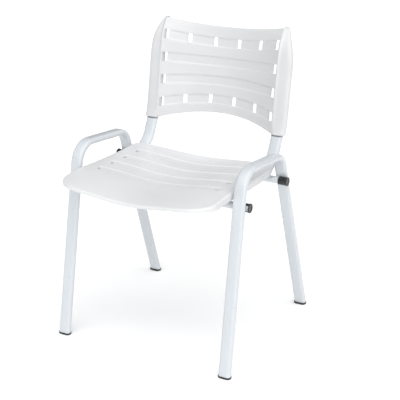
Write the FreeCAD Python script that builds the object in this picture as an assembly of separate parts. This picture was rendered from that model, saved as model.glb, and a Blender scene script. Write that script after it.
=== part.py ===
import FreeCAD, Part
import math
import os

# Stacking chair with a four-legged bent-tube frame and two moulded plastic shells.
# Millimetres.  The chair faces -Y, +X is the sitter's left, +Z is up.
# The origin is on the floor, in the middle of the chair's footprint.

# ---- driving dimensions -------------------------------------------------------------
OVERALL_DEPTH = 555.0          # front lip of the seat to the back of the rear feet
FRAME_HALF_SPACING = 250.0     # leg centre line to the middle of the chair, at the floor
SIDE_LEAN = 0.57               # degrees the side frames lean inwards

OBLONG_WIDTH = 34.0            # oblong steel tube, across the chair
OBLONG_DEPTH = 17.0            # oblong steel tube, in the plane that it is bent in
OBLONG_WALL = 1.5
FRONT_FOOT_Y = -224.5          # centre line of the front legs at the floor
FRONT_LEG_LEAN = 10.15         # degrees from upright
REAR_LEG_LEAN = 19.1
LOOP_TOP_Z = 520.0             # centre line of the loop's top run, at LOOP_TOP_Y
LOOP_TOP_Y = -47.5
LOOP_FALL = 5.1                # degrees the top run falls towards the rear
LOOP_FRONT_RADIUS = 58.0
LOOP_REAR_RADIUS = 46.0

CROSS_TUBE_RADIUS = 9.525      # 3/4 in round tube
CROSS_TUBE_WALL = 1.5
CROSS_TUBE_Z = 435.0
CROSS_TUBE_END_X = 266.5

POST_X = 198.5                 # back uprights, left and right of the middle
POST_RUN_FRONT_Y = -150.0
POST_BEND_Y = 94.0
POST_BEND_RADIUS = 75.0
POST_BEND_TURN = 63.4          # degrees
POST_TOP_LEAN = 9.65           # degrees from upright, inside the backrest
POST_TOP_RADIUS = 200.0
POST_LINE_Z = 581.0            # the upper run passes through this height ...
POST_LINE_Y = 194.0            # ... at this depth
POST_TOP_Z = 742.0
PLUG_FACE = 3.0                # domed plug in the front end of an upright's run
PLUG_LENGTH = 16.0

CAP_SOLE = 5.0                 # thickness of a foot cap under the tube
CAP_LIP = 1.3                  # how far the cap stands out around the tube
CAP_PLUG = 26.0                # height that the plug inside the tube reaches
CAP_EDGE_RADIUS = 1.2
PLUG_WALL = 2.0
FIT_GAP = 0.15                 # clearance of a plastic plug in its tube, each side

BUMPER_LENGTH = 26.0
BUMPER_WALL = 1.7
BUMPER_FLANGE = 3.0            # thickness of the closed end
BUMPER_FLANGE_RADIUS = 12.3
BUMPER_SLOT_HALF_ANGLE = 51.0  # the sleeve is open where the tube is welded to the leg

LEG_WELD_INNER_X = 232.0
WELD_ROOT = 1.8                # a bead's near edge, away from the line where the tubes touch
WELD_REACH = 7.5               # its far edge, on the flat tube
WELD_CREST = 6.4               # its crest, between the two tubes
WELD_HEIGHT = 3.4

SEAT_HALF_WIDTH = 224.0
SEAT_REAR_Y = 122.5
SEAT_THICKNESS = 4.0
SEAT_MIDDLE_Z = 452.0          # top of the seat in the middle, at its lowest
SEAT_LOW_Y = 30.0
SEAT_FRONT_ROLL_Y = -125.0     # from here forward the seat rolls over
SEAT_FRONT_DROP = 23.6
SEAT_REAR_KICK_Y = 70.0        # from here back the rear edge turns up
SEAT_FLANK = 18.5              # depth of the downturned sides
SEAT_LIP = 7.5                 # depth of the rim along the front
SEAT_FLANK_REAR_Y = 96.0
SEAT_DISH = 14.0               # how much the sides stand above the middle
SEAT_REAR_FLATTEN = 6.0        # how much less that is at the rear edge
SEAT_REAR_KICK = 7.0           # how much the rear edge turns up
SEAT_DISH_HALF_WIDTH = 190.0
SEAT_CORNER_X = 78.0           # half axes of the rounded front corners
SEAT_CORNER_Y = 58.0
SEAT_REAR_RADIUS = 28.0
CHANNEL_PITCH = 63.5
CHANNEL_WIDTH = 33.0
CHANNEL_DEPTH = 1.2
CHANNEL_FRONT_Y = -131.0       # middle of the first channel
CHANNEL_COUNT = 4
CHANNEL_HALF_LENGTH = 186.0
SEAT_SLOT_X = 178.0
SEAT_SLOT_WIDTH = 9.0
SEAT_SLOT_LENGTH = 13.0
PAD_HALF_WIDTH = 10.0          # ribs under the seat that rest on the uprights' runs
PAD_FRONT_Y = -140.0
PAD_REAR_Y = 82.0

BACK_HALF_WIDTH = 221.0
BACK_MIDDLE_Y = 231.4          # front of the sheet in the middle, at POST_LINE_Z
BACK_MIDDLE_SLOPE = 0.195
BACK_SIDE_Y = 185.5            # front of the sheet at the outer slots, at POST_LINE_Z
BACK_SIDE_SLOPE = 0.165
BACK_ROLL_Z = 750.0            # above this the sides roll back ...
BACK_ROLL = 20.6               # ... by this much at the corner tips
BACK_THICKNESS = 4.0
BACK_TOP_Z = 796.5             # top edge in the middle
BACK_TOP_RISE = 20.5           # how much higher it is at BACK_TOP_RISE_X
BACK_TOP_RISE_X = 190.0
BACK_BOTTOM_Z = 558.5          # bottom edge in the middle
BACK_BOTTOM_DROP = 23.5
BACK_BOTTOM_DROP_X = 185.0
BACK_SIDE_ARC_Z = 715.0        # above this the sides curve in towards the top corners
BACK_SIDE_ARC_RADIUS = 200.0
BACK_CORNER_Z = 816.0          # tips of the top corners
BACK_CORNER_WIDTH = 5.0        # how far the small round of a tip reaches inwards
BACK_CORNER_HEIGHT = 4.0
SLEEVE_BOTTOM_Z = 534.0
SLEEVE_WIDTH = 43.0
SLEEVE_DEPTH = 23.0
SLEEVE_CORNER = 9.0
SLEEVE_OUTSET = 1.0            # the sleeve stands this much further out than its upright
SLEEVE_ROLL_Z = 756.0          # above this it rolls back
SLEEVE_ROLL_RADIUS = 109.0
SLEEVE_ROLL_TURN = 0.7         # radians
SLEEVE_GAP = 0.3               # clearance around the upright inside its sleeve
RELIEF_FRONT_Y = 86.0          # behind this the seat is relieved over the uprights' bends
SHEET_HALF_WIDTH = 187.0
BACK_SLOT_WIDTH = 12.5
BACK_SLOT_HEIGHT = 26.0
BACK_SLOT_X = (37.5, 111.0, 173.0)
BACK_SLOT_COLUMN_X = 174.0
BACK_ROW_COUNT = 4
BACK_ROW_Z = 595.0             # lowest row of slots, in the middle
BACK_ROW_PITCH = 52.3
BACK_ROW_END_DROP = 14.0       # how much lower the lowest row is at BACK_SLOT_COLUMN_X
BACK_ROW_SPREAD = 11.4         # how much further apart the rows are there

SCREW_Y = (-108.0, 32.0)
SCREW_RADIUS = 2.4
SCREW_HEAD_RADIUS = 4.75
SCREW_HEAD = 3.0
SCREW_HOLE_GAP = 0.2
WASHER_RADIUS = 7.0
WASHER_THICKNESS = 1.2
SCREW_TIP_BELOW_SEAT = 2.6
BACK_SCREW_Z = 572.0
BACK_SCREW_RADIUS = 2.1
BACK_SCREW_LENGTH = 14.0
BACK_SCREW_HEAD = 2.6

V = FreeCAD.Vector
UP = V(0, 0, 1)
BACKWARD = V(0, 1, 0)
BIG = 1200.0                   # past the chair on every side


# ---- small helpers ------------------------------------------------------------------
def tan_deg(angle):
    return math.tan(math.radians(angle))


def yz(y, z):
    return V(0, y, z)


def smoothstep(t):
    t = min(1.0, max(0.0, t))
    return t * t * (3 - 2 * t)


def filleted_path(points, radii):
    """A wire of straight runs through the points, with a tangent arc at each inner point."""
    edges = []
    start = points[0]
    for corner, after, radius in zip(points[1:-1], points[2:], radii):
        into = (corner - start).normalize()
        out = (after - corner).normalize()
        turn = into.getAngle(out)
        reach = radius * math.tan(turn / 2)
        first = corner - into * reach
        last = corner + out * reach
        bisector = (out - into).normalize()
        middle = corner + bisector * (radius / math.cos(turn / 2) - radius)
        edges.append(Part.LineSegment(start, first).toShape())
        edges.append(Part.Arc(first, middle, last).toShape())
        start = last
    edges.append(Part.LineSegment(start, points[-1]).toShape())
    return Part.Wire(edges)


def oblong_wire(centre, along, width, depth):
    """A stadium outline, its long side along X, square to the direction `along`."""
    side = V(1, 0, 0)
    short = along.cross(side).normalize()
    half = width / 2 - depth / 2
    r = depth / 2
    a = centre - side * half + short * r
    b = centre + side * half + short * r
    c = centre + side * half - short * r
    d = centre - side * half - short * r
    return Part.Wire([
        Part.LineSegment(a, b).toShape(),
        Part.Arc(b, centre + side * (half + r), c).toShape(),
        Part.LineSegment(c, d).toShape(),
        Part.Arc(d, centre - side * (half + r), a).toShape(),
    ])


def rounded_rectangle_wire(centre, along, width, depth, radius):
    """A rectangle with round corners, its width along X, square to the direction `along`."""
    side = V(1, 0, 0)
    short = along.cross(side).normalize()
    hx = width / 2
    hy = depth / 2
    diagonal = radius * (1 - math.sqrt(0.5))
    edges = []
    corners = ((1, 1), (-1, 1), (-1, -1), (1, -1))
    for index, (sx, sy) in enumerate(corners):
        middle = centre + side * sx * (hx - diagonal) + short * sy * (hy - diagonal)
        on_side = centre + side * sx * hx + short * sy * (hy - radius)
        on_face = centre + side * sx * (hx - radius) + short * sy * hy
        first, last = (on_side, on_face) if sx == sy else (on_face, on_side)
        edges.append(Part.Arc(first, middle, last).toShape())
        nx, ny = corners[(index + 1) % 4]
        next_side = centre + side * nx * hx + short * ny * (hy - radius)
        next_face = centre + side * nx * (hx - radius) + short * ny * hy
        edges.append(Part.LineSegment(last, next_side if nx == ny else next_face).toShape())
    return Part.Wire(edges)


def swept(path, profile):
    return path.makePipeShell([profile], True, True)


def oblong_tube(path, along):
    """A hollow oblong tube along a path that starts in the direction `along`."""
    start = path.OrderedVertexes[0].Point
    outer = swept(path, oblong_wire(start, along, OBLONG_WIDTH, OBLONG_DEPTH))
    bore_width = OBLONG_WIDTH - 2 * OBLONG_WALL
    bore_depth = OBLONG_DEPTH - 2 * OBLONG_WALL
    return outer.cut(swept(path, oblong_wire(start, along, bore_width, bore_depth)))


def block(x0, x1, y0, y1, z0, z1):
    return Part.makeBox(x1 - x0, y1 - y0, z1 - z0, V(x0, y0, z0))


def mirrored(shape):
    return shape.mirror(V(0, 0, 0), V(1, 0, 0))


def export(shape, node):
    shape.exportStep("parts/%s.step" % node)


# ---- tube frame ---------------------------------------------------------------------
FRONT_SLOPE = tan_deg(FRONT_LEG_LEAN)
REAR_SLOPE = tan_deg(REAR_LEG_LEAN)
LOOP_SLOPE = tan_deg(LOOP_FALL)
LEAN_SLOPE = tan_deg(SIDE_LEAN)
REAR_CAP_HALF_DEPTH = OBLONG_DEPTH / 2 * math.hypot(1, REAR_SLOPE) + CAP_LIP
REAR_FOOT_Y = OVERALL_DEPTH / 2 - REAR_CAP_HALF_DEPTH + REAR_SLOPE * CAP_SOLE
POST_RUN_Z = CROSS_TUBE_Z + CROSS_TUBE_RADIUS + OBLONG_DEPTH / 2
BUMPER_INNER_X = CROSS_TUBE_END_X + BUMPER_FLANGE - BUMPER_LENGTH


def front_leg_y(z):
    return FRONT_FOOT_Y + FRONT_SLOPE * z


def rear_leg_y(z):
    return REAR_FOOT_Y - REAR_SLOPE * z


def loop_corner(foot_y, slope):
    """Where a leg's centre line, carried on, meets the line of the loop's top run."""
    z = (LOOP_TOP_Z - LOOP_SLOPE * (foot_y - LOOP_TOP_Y)) / (1 + LOOP_SLOPE * slope)
    return yz(foot_y + slope * z, z)


def lean_to_side(shape):
    """Lean a side frame's part inwards about the floor line and move it to its place at +X."""
    leaning = shape.copy()
    leaning.rotate(V(0, 0, 0), V(0, 1, 0), -SIDE_LEAN)
    leaning.translate(V(FRAME_HALF_SPACING, 0, 0))
    return leaning


def side_frame():
    """One inverted U: front leg, loop above the seat and rear leg, from one bent tube."""
    below = -30.0
    front_end = yz(front_leg_y(below), below)
    rear_end = yz(rear_leg_y(below), below)
    front_top = loop_corner(FRONT_FOOT_Y, FRONT_SLOPE)
    rear_top = loop_corner(REAR_FOOT_Y, -REAR_SLOPE)
    path = filleted_path([front_end, front_top, rear_top, rear_end],
                         [LOOP_FRONT_RADIUS, LOOP_REAR_RADIUS])
    tube = lean_to_side(oblong_tube(path, front_top - front_end))
    return tube.cut(block(-BIG, BIG, -BIG, BIG, -BIG, CAP_SOLE))


def hollow_plug(start, end):
    """The hollow part of a plastic plug that fits inside an oblong tube, from start to end."""
    path = filleted_path([start, end], [])
    width = OBLONG_WIDTH - 2 * OBLONG_WALL - 2 * FIT_GAP
    depth = OBLONG_DEPTH - 2 * OBLONG_WALL - 2 * FIT_GAP
    outside = swept(path, oblong_wire(start, end - start, width, depth))
    inside = swept(path, oblong_wire(start, end - start, width - 2 * PLUG_WALL, depth - 2 * PLUG_WALL))
    return outside.cut(inside)


def foot_cap(foot_y, slope):
    """A moulded cap: a flat sole under the leg's end and a hollow plug up inside the tube."""
    end_y = foot_y + slope * CAP_SOLE
    end_x = FRAME_HALF_SPACING - LEAN_SLOPE * CAP_SOLE
    lean_depth = OBLONG_DEPTH * math.hypot(1, slope)
    outline = oblong_wire(V(end_x, end_y, 0), UP, OBLONG_WIDTH + 2 * CAP_LIP, lean_depth + 2 * CAP_LIP)
    sole = Part.Face(outline).extrude(UP * CAP_SOLE)
    lower_edge = [edge for edge in sole.Edges if edge.BoundBox.ZMax < CAP_SOLE / 2]
    sole = sole.makeFillet(CAP_EDGE_RADIUS, lower_edge)
    below = yz(foot_y - slope * CAP_PLUG, -CAP_PLUG)
    above = yz(foot_y + slope * CAP_PLUG, CAP_PLUG)
    plug = lean_to_side(hollow_plug(below, above))
    plug = plug.cut(block(-BIG, BIG, -BIG, BIG, -BIG, CAP_SOLE / 2))
    return sole.fuse(plug).removeSplitter()


def cross_tube_y(foot_y, slope, toward):
    """The round tube's depth where it just touches the inner flat of a leg."""
    stand_off = (OBLONG_DEPTH / 2 + CROSS_TUBE_RADIUS) * math.hypot(1, slope)
    return foot_y + slope * CROSS_TUBE_Z + toward * stand_off


FRONT_CROSS_Y = cross_tube_y(FRONT_FOOT_Y, FRONT_SLOPE, 1)
REAR_CROSS_Y = cross_tube_y(REAR_FOOT_Y, -REAR_SLOPE, -1)


def cross_tube(y):
    start = V(-CROSS_TUBE_END_X, y, CROSS_TUBE_Z)
    length = 2 * CROSS_TUBE_END_X
    tube = Part.makeCylinder(CROSS_TUBE_RADIUS, length, start, V(1, 0, 0))
    bore = Part.makeCylinder(CROSS_TUBE_RADIUS - CROSS_TUBE_WALL, length, start, V(1, 0, 0))
    return tube.cut(bore)


def stacking_bumper(y, slot_toward):
    """A split sleeve with a closed, flanged end, pushed on a cross tube's end at +X."""
    start = V(BUMPER_INNER_X, y, CROSS_TUBE_Z)
    tube_length = CROSS_TUBE_END_X - BUMPER_INNER_X
    body_radius = CROSS_TUBE_RADIUS + BUMPER_WALL
    body = Part.makeCylinder(body_radius, BUMPER_LENGTH, start, V(1, 0, 0))
    flange_start = V(CROSS_TUBE_END_X, y, CROSS_TUBE_Z)
    flange = Part.makeCylinder(BUMPER_FLANGE_RADIUS, BUMPER_FLANGE, flange_start, V(1, 0, 0))
    outer_rim = [edge for edge in flange.Edges if edge.BoundBox.XMin > CROSS_TUBE_END_X + BUMPER_FLANGE / 2]
    flange = flange.makeFillet(BUMPER_FLANGE / 3, outer_rim)
    sleeve = body.cut(Part.makeCylinder(CROSS_TUBE_RADIUS, tube_length, start, V(1, 0, 0)))
    half = math.radians(BUMPER_SLOT_HALF_ANGLE)
    reach = 2 * body_radius
    wedge = Part.makePolygon([
        start,
        start + V(0, slot_toward * reach * math.cos(half), reach * math.sin(half)),
        start + V(0, slot_toward * reach * math.cos(half), -reach * math.sin(half)),
        start,
    ])
    slot = Part.Face(wedge).extrude(V(tube_length, 0, 0))
    return sleeve.cut(slot).fuse(flange).removeSplitter()


def post_path(front_y, top_z):
    """Centre line of a back upright in the plane of its bend."""
    middle_slope = 1 / tan_deg(POST_BEND_TURN)
    corner_y = POST_BEND_Y + POST_BEND_RADIUS * tan_deg(POST_BEND_TURN / 2)
    top_slope = tan_deg(POST_TOP_LEAN)
    line_y0 = POST_LINE_Y - top_slope * POST_LINE_Z
    meet_z = (line_y0 - corner_y + middle_slope * POST_RUN_Z) / (middle_slope - top_slope)
    meet = yz(line_y0 + top_slope * meet_z, meet_z)
    top = yz(line_y0 + top_slope * top_z, top_z)
    return filleted_path([yz(front_y, POST_RUN_Z), yz(corner_y, POST_RUN_Z), meet, top],
                         [POST_BEND_RADIUS, POST_TOP_RADIUS])


def upright_space(front_y):
    """The space that an upright takes up, with clearance, from front_y to just past its top."""
    path = post_path(front_y, POST_TOP_Z + 1.0)
    start = path.OrderedVertexes[0].Point
    width = OBLONG_WIDTH + 2 * SLEEVE_GAP
    depth = OBLONG_DEPTH + 2 * SLEEVE_GAP
    space = swept(path, oblong_wire(start, BACKWARD, width, depth))
    space.translate(V(POST_X, 0, 0))
    return space


def back_upright():
    """An L-shaped oblong tube: a run under the seat, then up into the backrest's sleeve."""
    tube = oblong_tube(post_path(POST_RUN_FRONT_Y, POST_TOP_Z), BACKWARD)
    tube.translate(V(POST_X, 0, 0))
    for y in SCREW_Y:
        hole = Part.makeCylinder(SCREW_RADIUS + SCREW_HOLE_GAP, 2 * OBLONG_DEPTH,
                                 V(POST_X, y, POST_RUN_Z - OBLONG_DEPTH), UP)
        tube = tube.cut(hole)
    return tube.cut(back_screw(SCREW_HOLE_GAP))


def upright_end_plug():
    """A domed cap with a plug that closes the front end of an upright's run."""
    end = yz(POST_RUN_FRONT_Y, POST_RUN_Z)
    face = Part.Face(oblong_wire(end, BACKWARD, OBLONG_WIDTH, OBLONG_DEPTH)).extrude(BACKWARD * -PLUG_FACE)
    rim = [edge for edge in face.Edges if edge.BoundBox.YMax < POST_RUN_FRONT_Y - PLUG_FACE / 2]
    face = face.makeFillet(PLUG_FACE * 0.6, rim)
    plug = face.fuse(hollow_plug(end, end + BACKWARD * PLUG_LENGTH)).removeSplitter()
    plug.translate(V(POST_X, 0, 0))
    return plug


# ---- welds --------------------------------------------------------------------------
def leg_weld(y, slope, toward, leg):
    """Two fillets between a cross tube and the leg that it touches, inboard of the bumper."""
    normal = V(0, -toward, toward * slope).normalize()
    along = V(0, slope, 1).normalize()
    contact = V(LEG_WELD_INNER_X, y, CROSS_TUBE_Z) + normal * CROSS_TUBE_RADIUS
    length = BUMPER_INNER_X - LEG_WELD_INNER_X - FIT_GAP
    beads = weld_pair(contact, along, normal * -1, length, y)
    return [bead.cut(leg) for bead in beads]


def weld_pair(contact, along, away, length, tube_y):
    """Wedges on both sides of the line where a cross tube touches a flat, running towards +X."""
    tube = Part.makeCylinder(CROSS_TUBE_RADIUS, length, V(contact.x, tube_y, CROSS_TUBE_Z), V(1, 0, 0))
    beads = []
    for way in (1, -1):
        near = contact + along * way * WELD_ROOT
        far = contact + along * way * WELD_REACH
        crest = contact + along * way * WELD_CREST + away * WELD_HEIGHT
        wedge = Part.Face(Part.makePolygon([near, far, crest, near])).extrude(V(length, 0, 0))
        beads.append(wedge.cut(tube))
    return beads


def run_weld(y):
    """Two fillets between an upright's run and the cross tube that carries it."""
    flat = OBLONG_WIDTH - OBLONG_DEPTH
    contact = V(POST_X - flat / 2, y, CROSS_TUBE_Z + CROSS_TUBE_RADIUS)
    return weld_pair(contact, BACKWARD, UP * -1, flat, y)


# ---- seat ---------------------------------------------------------------------------
SEAT_FRONT_Y = -OVERALL_DEPTH / 2


def seat_height(x, y):
    """Top of the seat: a shallow dish that rolls over at the front and kicks up at the rear."""
    front = max(0.0, (y - SEAT_FRONT_ROLL_Y) / (SEAT_FRONT_Y - SEAT_FRONT_ROLL_Y))
    rear = max(0.0, (y - SEAT_REAR_KICK_Y) / (SEAT_REAR_Y - SEAT_REAR_KICK_Y))
    sag = 6.0 * ((y - SEAT_LOW_Y) / 170.0) ** 2
    middle = SEAT_MIDDLE_Z + sag - SEAT_FRONT_DROP * front ** 2 + SEAT_REAR_KICK * rear ** 2
    across = min(abs(x), SEAT_DISH_HALF_WIDTH) / SEAT_DISH_HALF_WIDTH
    dish = SEAT_DISH - SEAT_REAR_FLATTEN * rear ** 2
    return middle + dish * (1 - math.cos(math.pi * across)) / 2


def rim_bottom(x, y):
    """Lower edge of the rim: shallow along the front, deepening round the corners to the flanks."""
    round_corner = smoothstep((y - SEAT_FRONT_Y) / (1.2 * SEAT_CORNER_Y))
    return seat_height(x, y) - SEAT_LIP - (SEAT_FLANK - SEAT_LIP) * round_corner


def smooth_face(point_at, u_range, v_range, u_count, v_count):
    """A spline face through an even grid of points that a formula gives."""
    rows = []
    for i in range(u_count):
        u = u_range[0] + (u_range[1] - u_range[0]) * i / (u_count - 1)
        row = []
        for j in range(v_count):
            v = v_range[0] + (v_range[1] - v_range[0]) * j / (v_count - 1)
            row.append(point_at(u, v))
        rows.append(row)
    surface = Part.BSplineSurface()
    surface.interpolate(rows)
    return surface.toShape()


def seat_outline(inset):
    """Plan outline of the seat, drawn in by `inset`: elliptical front corners, round rear ones."""
    hx = SEAT_HALF_WIDTH - inset
    front = SEAT_FRONT_Y + inset
    rear = SEAT_REAR_Y - inset
    ax = SEAT_CORNER_X - inset
    ay = SEAT_CORNER_Y - inset
    r = SEAT_REAR_RADIUS - inset
    front_ellipse = Part.Ellipse(V(hx - ax, front + ay, 0), ax, ay)
    front_round = Part.Edge(Part.ArcOfEllipse(front_ellipse, -math.pi / 2, 0))
    diagonal = r * (1 - math.sqrt(0.5))
    rear_middle = V(hx - diagonal, rear - diagonal, 0)
    rear_round = Part.Arc(V(hx, rear - r, 0), rear_middle, V(hx - r, rear, 0)).toShape()
    side = Part.LineSegment(V(hx, front + ay, 0), V(hx, rear - r, 0)).toShape()
    edges = [
        Part.LineSegment(V(ax - hx, front, 0), V(hx - ax, front, 0)).toShape(),
        Part.LineSegment(V(hx - r, rear, 0), V(r - hx, rear, 0)).toShape(),
    ]
    for edge in (front_round, side, rear_round):
        edges += [edge, mirrored(edge)]
    return Part.Wire(Part.__sortEdges__(edges))


def seat_prism(inset):
    return Part.Face(seat_outline(inset)).extrude(UP * BIG)


def box_about(x, y, half_x, half_y):
    """An upright cutter that runs right through the seat, centred at x, y."""
    return block(x - half_x, x + half_x, y - half_y, y + half_y, 0, BIG)


def seat_shell():
    x_range = (-SEAT_HALF_WIDTH - 15, SEAT_HALF_WIDTH + 15)
    y_range = (SEAT_FRONT_Y - 22, SEAT_REAR_Y + 18)
    top = smooth_face(lambda x, y: V(x, y, seat_height(x, y)), x_range, y_range, 25, 23)
    bottom = smooth_face(lambda x, y: V(x, y, rim_bottom(x, y)), x_range, y_range, 25, 45)
    below_top = top.extrude(UP * -2 * SEAT_FLANK)
    outside = seat_prism(0)
    sheet = top.extrude(UP * -SEAT_THICKNESS).common(outside)
    rim = below_top.common(outside.cut(seat_prism(SEAT_THICKNESS)))
    flank = rim.cut(bottom.extrude(UP * -3 * SEAT_FLANK))
    flank = flank.common(block(-BIG, BIG, -BIG, SEAT_FLANK_REAR_Y, 0, BIG))
    pad = below_top.common(block(POST_X - PAD_HALF_WIDTH, POST_X + PAD_HALF_WIDTH, PAD_FRONT_Y, PAD_REAR_Y,
                                 POST_RUN_Z + OBLONG_DEPTH / 2, BIG))
    shell = sheet.fuse([flank, pad, mirrored(pad)])

    channel_floor = top.copy()
    channel_floor.translate(UP * -CHANNEL_DEPTH)
    above_floor = channel_floor.extrude(UP * SEAT_FLANK)
    cuts = seat_screw_list()
    for row in range(CHANNEL_COUNT):
        y = CHANNEL_FRONT_Y + row * CHANNEL_PITCH
        cuts.append(above_floor.common(box_about(0, y, CHANNEL_HALF_LENGTH, CHANNEL_WIDTH / 2)))
        for side in (-1, 1):
            cuts.append(box_about(side * SEAT_SLOT_X, y, SEAT_SLOT_WIDTH / 2, SEAT_SLOT_LENGTH / 2))
    relief = upright_space(RELIEF_FRONT_Y)
    cuts += [relief, mirrored(relief)]
    for cutter in cuts:
        shell = shell.cut(cutter)
    return shell.removeSplitter()


def seat_screw_list():
    """Pan-head screws from below, through the uprights' runs into the seat's pads."""
    under = POST_RUN_Z - OBLONG_DEPTH / 2 - WASHER_THICKNESS
    screws = []
    for side in (-1, 1):
        for y in SCREW_Y:
            tip = seat_height(POST_X, y) - SCREW_TIP_BELOW_SEAT
            foot = V(side * POST_X, y, under)
            shank = Part.makeCylinder(SCREW_RADIUS, tip - under, foot, UP)
            head = Part.makeCylinder(SCREW_HEAD_RADIUS, SCREW_HEAD, foot, UP * -1)
            rim = [edge for edge in head.Edges if edge.BoundBox.ZMax < under - SCREW_HEAD / 2]
            head = head.makeFillet(SCREW_HEAD / 2, rim)
            screws.append(shank.fuse(head).removeSplitter())
    return screws


def seat_washer_list():
    washers = []
    for side in (-1, 1):
        for y in SCREW_Y:
            foot = V(side * POST_X, y, POST_RUN_Z - OBLONG_DEPTH / 2 - WASHER_THICKNESS)
            disc = Part.makeCylinder(WASHER_RADIUS, WASHER_THICKNESS, foot, UP)
            hole = Part.makeCylinder(SCREW_RADIUS, WASHER_THICKNESS, foot, UP)
            washers.append(disc.cut(hole))
    return washers


# ---- backrest -----------------------------------------------------------------------
def back_middle_y(z):
    return BACK_MIDDLE_Y + BACK_MIDDLE_SLOPE * (z - POST_LINE_Z)


def back_side_y(z):
    roll = max(0.0, (z - BACK_ROLL_Z) / (BACK_CORNER_Z - BACK_ROLL_Z))
    return BACK_SIDE_Y + BACK_SIDE_SLOPE * (z - POST_LINE_Z) + BACK_ROLL * roll ** 2


def back_face_y(x, z):
    """Front of the backrest sheet: wrapped round the sitter, rolled back at the top corners."""
    wrap = (back_middle_y(z) - back_side_y(z)) * (x / BACK_SLOT_COLUMN_X) ** 2
    return back_middle_y(z) - wrap


def back_top_z(x):
    return BACK_TOP_Z + BACK_TOP_RISE * (x / BACK_TOP_RISE_X) ** 2


def back_bottom_z(x):
    return BACK_BOTTOM_Z - BACK_BOTTOM_DROP * (x / BACK_BOTTOM_DROP_X) ** 2


def side_arc_x(z):
    over = max(0.0, z - BACK_SIDE_ARC_Z)
    return BACK_HALF_WIDTH - BACK_SIDE_ARC_RADIUS + math.sqrt(BACK_SIDE_ARC_RADIUS ** 2 - over ** 2)


def row_z(row, x):
    """Height of a row of slots: the upper rows curve up at the ends and the lowest curves down."""
    end_rise = BACK_ROW_SPREAD * row - BACK_ROW_END_DROP
    return BACK_ROW_Z + BACK_ROW_PITCH * row + end_rise * (x / BACK_SLOT_COLUMN_X) ** 2


def wall_arc(function, half_width):
    """The arc through three points of an edge curve in the plane Y = 0."""
    return Part.Arc(V(-half_width, 0, function(half_width)), V(0, 0, function(0)),
                    V(half_width, 0, function(half_width)))


def front_view_prism(edges):
    """A prism through the backrest, from its outline in the plane Y = 0."""
    wire = Part.Wire(Part.__sortEdges__(edges))
    return Part.Face(wire).extrude(BACKWARD * BIG)


def sheet_prism():
    side = Part.LineSegment(V(SHEET_HALF_WIDTH, 0, back_bottom_z(SHEET_HALF_WIDTH)),
                            V(SHEET_HALF_WIDTH, 0, back_top_z(SHEET_HALF_WIDTH))).toShape()
    return front_view_prism([
        wall_arc(back_bottom_z, SHEET_HALF_WIDTH).toShape(),
        wall_arc(back_top_z, SHEET_HALF_WIDTH).toShape(),
        side,
        mirrored(side),
    ])


def whole_back_prism():
    """Outline of the backrest seen from the front, its sides curving in towards the top."""
    tip_x = side_arc_x(BACK_CORNER_Z)
    tip_inner_x = tip_x - BACK_CORNER_WIDTH
    arc_middle_z = (BACK_SIDE_ARC_Z + BACK_CORNER_Z) / 2
    tip_start = V(tip_x, 0, BACK_CORNER_Z - BACK_CORNER_HEIGHT)
    arc_start = V(BACK_HALF_WIDTH, 0, BACK_SIDE_ARC_Z)
    bottom_start = V(-BACK_HALF_WIDTH, 0, SLEEVE_BOTTOM_Z)
    bottom_end = V(BACK_HALF_WIDTH, 0, SLEEVE_BOTTOM_Z)
    edges = [
        wall_arc(back_top_z, tip_inner_x).toShape(),
        Part.LineSegment(bottom_start, bottom_end).toShape(),
    ]
    half = [
        Part.LineSegment(V(BACK_HALF_WIDTH, 0, SLEEVE_BOTTOM_Z), arc_start),
        Part.Arc(arc_start, V(side_arc_x(arc_middle_z), 0, arc_middle_z), tip_start),
        Part.Arc(tip_start, V(tip_x - BACK_CORNER_WIDTH * 0.28, 0, BACK_CORNER_Z),
                 V(tip_inner_x, 0, back_top_z(tip_inner_x))),
    ]
    for piece in half:
        edges += [piece.toShape(), mirrored(piece.toShape())]
    return front_view_prism(edges)


def sleeve():
    """The solid outside of a side sleeve: along the upright, then rolled back above it."""
    path = post_path(0.0, SLEEVE_ROLL_Z)
    last = path.OrderedVertexes[-1].Point
    lean = math.radians(POST_TOP_LEAN)
    centre = last + V(0, math.cos(lean), -math.sin(lean)) * SLEEVE_ROLL_RADIUS

    def on_roll(turn):
        return centre + V(0, -math.cos(lean + turn), math.sin(lean + turn)) * SLEEVE_ROLL_RADIUS

    roll = Part.Arc(last, on_roll(SLEEVE_ROLL_TURN / 2), on_roll(SLEEVE_ROLL_TURN)).toShape()
    path = Part.Wire(path.OrderedEdges + [roll])
    start = path.OrderedVertexes[0].Point
    outside = swept(path, rounded_rectangle_wire(start, BACKWARD, SLEEVE_WIDTH, SLEEVE_DEPTH, SLEEVE_CORNER))
    outside.translate(V(POST_X + SLEEVE_OUTSET, 0, 0))
    return outside


def back_screw(extra):
    """A screw from behind, square to the upright, through the sleeve into the tube's rear wall."""
    lean = math.radians(POST_TOP_LEAN)
    inward = V(0, -math.cos(lean), math.sin(lean))
    centre_y = POST_LINE_Y + math.tan(lean) * (BACK_SCREW_Z - POST_LINE_Z)
    on_sleeve = V(POST_X, centre_y, BACK_SCREW_Z) - inward * (SLEEVE_DEPTH / 2)
    shank = Part.makeCylinder(BACK_SCREW_RADIUS + extra, BACK_SCREW_LENGTH, on_sleeve, inward)
    head = Part.makeCylinder(SCREW_HEAD_RADIUS + extra, BACK_SCREW_HEAD, on_sleeve, inward * -1)
    return shank.fuse(head).removeSplitter()


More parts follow.
